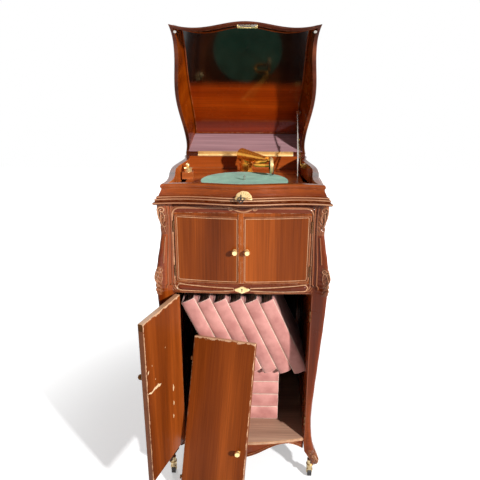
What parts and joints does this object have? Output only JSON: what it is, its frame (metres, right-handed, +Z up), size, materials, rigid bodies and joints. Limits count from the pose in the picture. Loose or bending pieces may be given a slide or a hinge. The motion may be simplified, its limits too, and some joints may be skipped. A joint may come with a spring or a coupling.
{
  "type": "gramophone cabinet",
  "caption": "Floor-standing spring-wound gramophone cabinet with a domed lift-up lid, upper horn doors, a record compartment below and carved bowed legs on casters.",
  "frame": {"origin": "floor level under the middle of the cabinet, between the four casters", "axes": "+X to the cabinet's right as seen from the front, +Y to its back, +Z up"},
  "size_m": [0.6057, 0.8501, 1.6299],
  "materials": {
    "mahogany": "polished, worn varnish",
    "dark_wood": "dull varnish",
    "light_wood": "satin varnish",
    "brass": "worn lacquer",
    "caster_brass": "dull",
    "nickel": "worn plating",
    "iron": "black japan",
    "felt": "worn felt",
    "album_cloth": "dusty book cloth",
    "caster_wheel": "worn"
  },
  "bodies": {
    "cabinet": {"post_front_left": "mahogany", "post_front_right": "mahogany", "rear_posts": "mahogany", "side_panels": "mahogany", "back_panel": "dark_wood", "bottom_board": "mahogany", "aprons": "mahogany", "lower_rail": "mahogany", "divider_board": "dark_wood", "top_rail": "mahogany", "base_moulding": "mahogany", "top_case": "mahogany", "motor_board": "dark_wood", "sound_chamber": "mahogany", "horn_throat": "iron", "lid_lock": "brass", "keyhole_plate": "brass", "winding_escutcheon": "brass", "motor_frame": "iron", "tonearm_base": "brass", "caster_sockets": "brass", "needle_cup": "brass", "needle_block": "light_wood", "case_hinges": "brass", "stay_bracket": "brass", "record_albums": "album_cloth"},
    "lid": {"lid_shell": "mahogany", "lid_panel": "dark_wood", "lid_fittings": "brass", "lid_hinge_leaf": "brass"},
    "lid_stay_rod": {"stay_rod": "nickel"},
    "lid_stay_arm": {"stay_arm": "brass"},
    "upper_left_door": {"upper_left_door": "mahogany", "upper_left_fittings": "brass"},
    "upper_right_door": {"upper_right_door": "mahogany", "upper_right_fittings": "brass"},
    "lower_left_door": {"lower_left_door": "mahogany", "lower_left_fittings": "brass"},
    "lower_right_door": {"lower_right_door": "mahogany", "lower_right_fittings": "brass"},
    "turntable": {"turntable": "nickel", "turntable_felt": "felt", "spindle": "nickel"},
    "spring_barrel": {"spring_barrel": "brass"},
    "governor": {"governor": "brass"},
    "winding_shaft": {"winding_shaft": "nickel"},
    "tonearm": {"tonearm_tube": "brass"},
    "gooseneck": {"gooseneck": "brass", "sound_box": "nickel", "needle_arm": "iron"},
    "brake": {"brake_lever": "nickel"},
    "lid_key": {"lid_key": "nickel"},
    "caster_front_left": {"caster_horn_front_left": "caster_brass"},
    "caster_wheel_front_left": {"caster_wheel_front_left": "caster_wheel"},
    "caster_front_right": {"caster_horn_front_right": "caster_brass"},
    "caster_wheel_front_right": {"caster_wheel_front_right": "caster_wheel"},
    "caster_rear_left": {"caster_horn_rear_left": "caster_brass"},
    "caster_wheel_rear_left": {"caster_wheel_rear_left": "caster_wheel"},
    "caster_rear_right": {"caster_horn_rear_right": "caster_brass"},
    "caster_wheel_rear_right": {"caster_wheel_rear_right": "caster_wheel"}
  },
  "joints": [
    {"name": "lid_hinge", "type": "hinge", "parent": "cabinet", "child": "lid", "pos_m": [0, 0.282, 1.12], "axis": [-1, 0, 0], "range_deg": [-55, 0]},
    {"name": "stay_rod_pivot", "type": "hinge", "parent": "lid", "child": "lid_stay_rod", "pos_m": [0.2055, 0.24912, 1.29597], "axis": [-1, 0, 0], "range_deg": [0, 20.8]},
    {"name": "stay_arm_pivot", "type": "hinge", "parent": "cabinet", "child": "lid_stay_arm", "pos_m": [0.2115, 0.1, 1.112], "axis": [1, 0, 0], "range_deg": [-39.2, 0]},
    {"name": "upper_left_hinge", "type": "hinge", "parent": "cabinet", "child": "upper_left_door", "pos_m": [-0.2191, -0.2716, 0.905], "axis": [0, 0, -1], "range_deg": [0, 110]},
    {"name": "upper_right_hinge", "type": "hinge", "parent": "cabinet", "child": "upper_right_door", "pos_m": [0.2191, -0.2716, 0.905], "axis": [0, 0, 1], "range_deg": [0, 110]},
    {"name": "lower_left_hinge", "type": "hinge", "parent": "cabinet", "child": "lower_left_door", "pos_m": [-0.2281, -0.2716, 0.456], "axis": [0, 0, -1], "range_deg": [-18, 25]},
    {"name": "lower_right_lift", "type": "slide", "parent": "cabinet", "child": "lower_right_door", "axis": [0, -0.7071, 0.7071], "range_m": [0, 0.4]},
    {"name": "turntable_spin", "type": "hinge", "parent": "cabinet", "child": "turntable", "pos_m": [0.002, -0.068, 1.088], "axis": [0, 0, 1], "continuous": true},
    {"name": "spring_barrel_spin", "type": "hinge", "parent": "cabinet", "child": "spring_barrel", "pos_m": [0, -0.114, 0.998], "axis": [1, 0, 0], "continuous": true},
    {"name": "governor_spin", "type": "hinge", "parent": "cabinet", "child": "governor", "pos_m": [0, -0.0397, 0.954], "axis": [1, 0, 0], "continuous": true},
    {"name": "winding_turn", "type": "hinge", "parent": "cabinet", "child": "winding_shaft", "pos_m": [0.25, -0.114, 0.998], "axis": [1, 0, 0], "continuous": true},
    {"name": "tonearm_swing", "type": "hinge", "parent": "cabinet", "child": "tonearm", "pos_m": [0.004, 0.172, 1.136], "axis": [0, 0, 1], "range_deg": [-30, 25]},
    {"name": "gooseneck_turn", "type": "hinge", "parent": "tonearm", "child": "gooseneck", "pos_m": [0.084, 0.076, 1.136], "axis": [-0.6402, 0.7682, 0], "range_deg": [0, 120]},
    {"name": "brake_turn", "type": "hinge", "parent": "cabinet", "child": "brake", "pos_m": [0.15, -0.19, 1.078], "axis": [0, 0, 1], "range_deg": [0, 25]},
    {"name": "key_turn", "type": "hinge", "parent": "cabinet", "child": "lid_key", "pos_m": [-0.004, -0.31, 1.089], "axis": [0, -1, 0], "range_deg": [0, 90]},
    {"name": "caster_front_left_swivel", "type": "hinge", "parent": "cabinet", "child": "caster_front_left", "pos_m": [-0.256, -0.28, 0.05], "axis": [0, 0, 1], "continuous": true},
    {"name": "caster_front_left_roll", "type": "hinge", "parent": "caster_front_left", "child": "caster_wheel_front_left", "pos_m": [-0.256, -0.271, 0.0175], "axis": [1, 0, 0], "continuous": true},
    {"name": "caster_front_right_swivel", "type": "hinge", "parent": "cabinet", "child": "caster_front_right", "pos_m": [0.256, -0.28, 0.05], "axis": [0, 0, 1], "continuous": true},
    {"name": "caster_front_right_roll", "type": "hinge", "parent": "caster_front_right", "child": "caster_wheel_front_right", "pos_m": [0.256, -0.271, 0.0175], "axis": [1, 0, 0], "continuous": true},
    {"name": "caster_rear_left_swivel", "type": "hinge", "parent": "cabinet", "child": "caster_rear_left", "pos_m": [-0.256, 0.25, 0.05], "axis": [0, 0, 1], "continuous": true},
    {"name": "caster_rear_left_roll", "type": "hinge", "parent": "caster_rear_left", "child": "caster_wheel_rear_left", "pos_m": [-0.256, 0.259, 0.0175], "axis": [1, 0, 0], "continuous": true},
    {"name": "caster_rear_right_swivel", "type": "hinge", "parent": "cabinet", "child": "caster_rear_right", "pos_m": [0.256, 0.25, 0.05], "axis": [0, 0, 1], "continuous": true},
    {"name": "caster_rear_right_roll", "type": "hinge", "parent": "caster_rear_right", "child": "caster_wheel_rear_right", "pos_m": [0.256, 0.259, 0.0175], "axis": [1, 0, 0], "continuous": true}
  ],
  "couplings": [
    {"joint": "stay_rod_pivot", "follows": "lid_hinge", "ratio": -0.376},
    {"joint": "stay_arm_pivot", "follows": "lid_hinge", "ratio": 0.711},
    {"joint": "spring_barrel_spin", "follows": "turntable_spin", "ratio": 0.05},
    {"joint": "governor_spin", "follows": "turntable_spin", "ratio": 9}
  ]
}
